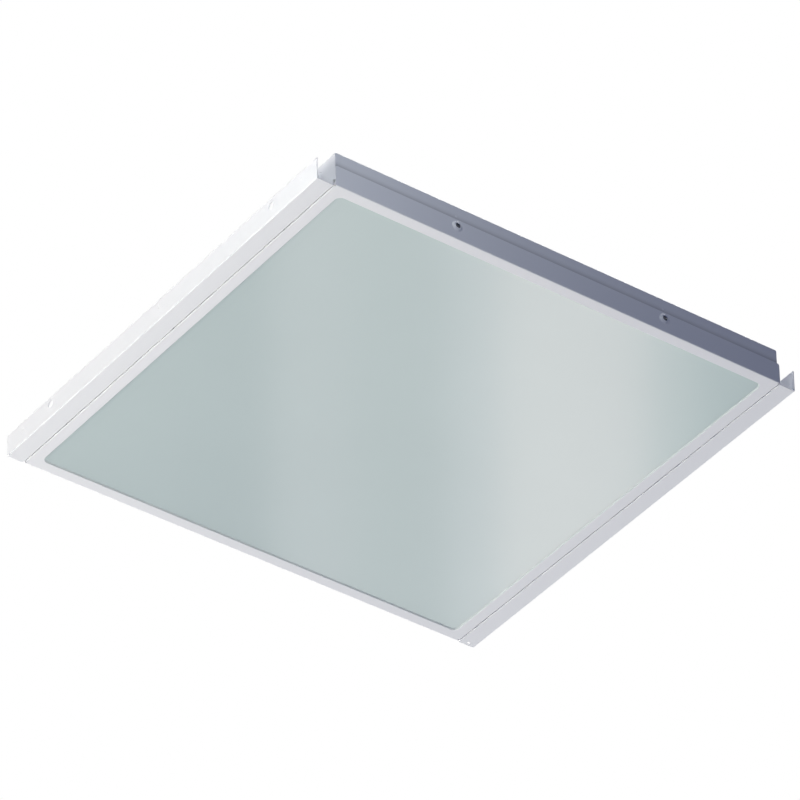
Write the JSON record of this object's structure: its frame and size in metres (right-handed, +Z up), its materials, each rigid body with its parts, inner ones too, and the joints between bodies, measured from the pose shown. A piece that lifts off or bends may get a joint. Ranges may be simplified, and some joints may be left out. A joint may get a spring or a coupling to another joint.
{
  "type": "recessed troffer light",
  "caption": "Square recessed ceiling light: shallow sheet-steel housing with side rails and lips, and a snap-shut hinged door that carries the glass and an opal diffuser.",
  "frame": {"origin": "centre of the ceiling face, on the plane of the door's and the rails' undersides", "axes": "+X across the side rails towards the rail with the small hole, +Y along the rails, +Z up into the ceiling"},
  "size_m": [0.6478, 0.6032, 0.0821],
  "materials": {
    "powder_coat": "satin white powder coat on sheet steel",
    "reflector_enamel": "high-white coil coat",
    "toughened_glass": "clear toughened glass, green edge",
    "opal_acrylic": "opal white, satin",
    "gasket_silicone": "matt, pale grey",
    "seal_foam": "closed-cell foam",
    "zinc_plate": "zinc plated",
    "spring_steel": "blued",
    "board_laminate": "white solder mask",
    "led_phosphor": "cast silicone with phosphor",
    "rivet_nylon": "moulded",
    "driver_case": "fine spark-eroded texture",
    "terminal_nylon": "moulded",
    "button_nylon": "moulded",
    "gland_nylon": "moulded",
    "black_rubber": "matt",
    "tinned_brass": "tin plated",
    "brown_pvc": "extruded",
    "blue_pvc": "extruded",
    "green_yellow_pvc": "extruded, two colours",
    "red_pvc": "extruded",
    "black_pvc": "extruded",
    "white_pvc": "extruded"
  },
  "bodies": {
    "housing": {"housing_pan": "powder_coat", "side_rail_left": "powder_coat", "side_rail_right": "powder_coat", "rail_rivets": "powder_coat", "hinge_leaves": "zinc_plate", "hinge_rivets": "zinc_plate", "catch_springs_near": "spring_steel", "catch_springs_far": "spring_steel", "catch_rivets": "powder_coat", "door_seal": "seal_foam", "reflector": "reflector_enamel", "reflector_standoffs": "zinc_plate", "reflector_screws": "zinc_plate", "reflector_grommet": "black_rubber", "roof_screws": "zinc_plate", "led_board_1": "board_laminate", "led_board_2": "board_laminate", "led_board_3": "board_laminate", "led_board_4": "board_laminate", "led_chips": "led_phosphor", "board_rivets": "rivet_nylon", "board_connectors": "rivet_nylon", "board_links": "white_pvc", "wire_clips": "rivet_nylon", "gear_box": "powder_coat", "gear_box_lid": "powder_coat", "lid_screws": "zinc_plate", "led_driver": "driver_case", "driver_screws": "zinc_plate", "terminal_block": "terminal_nylon", "gland_body": "gland_nylon", "gland_dome": "gland_nylon", "gland_seal": "black_rubber", "gland_nut": "gland_nylon", "blanking_plug": "gland_nylon", "roof_grommet": "black_rubber", "earth_stud": "zinc_plate", "earth_nut": "zinc_plate", "earth_tag": "tinned_brass", "live_lead": "brown_pvc", "neutral_lead": "blue_pvc", "earth_lead": "green_yellow_pvc", "light_lead_plus": "red_pvc", "light_lead_minus": "black_pvc"},
    "door": {"glass_frame": "powder_coat", "glass_pane": "toughened_glass", "glass_gasket": "gasket_silicone", "opal_diffuser": "opal_acrylic", "glass_retainer_near": "zinc_plate", "glass_retainer_far": "zinc_plate", "glass_retainer_left": "zinc_plate", "glass_retainer_right": "zinc_plate", "retainer_studs": "zinc_plate", "retainer_nuts": "zinc_plate", "door_hinge_knuckles": "zinc_plate", "hinge_pins": "zinc_plate"},
    "live_button": {"terminal_button_live": "button_nylon"},
    "neutral_button": {"terminal_button_neutral": "button_nylon"},
    "earth_button": {"terminal_button_earth": "button_nylon"}
  },
  "joints": [
    {"name": "door_hinge", "type": "hinge", "parent": "housing", "child": "door", "pos_m": [-0.2973, 0, 0.003], "axis": [0, 1, 0], "range_deg": [0, 90], "deforming": ["catch_springs_near", "catch_springs_far"]},
    {"name": "live_button_travel", "type": "slide", "parent": "housing", "child": "live_button", "axis": [0, 0, -1], "range_m": [0, 0.0015], "stiffness_N_per_m": 1500},
    {"name": "neutral_button_travel", "type": "slide", "parent": "housing", "child": "neutral_button", "axis": [0, 0, -1], "range_m": [0, 0.0015], "stiffness_N_per_m": 1500},
    {"name": "earth_button_travel", "type": "slide", "parent": "housing", "child": "earth_button", "axis": [0, 0, -1], "range_m": [0, 0.0015], "stiffness_N_per_m": 1500}
  ]
}
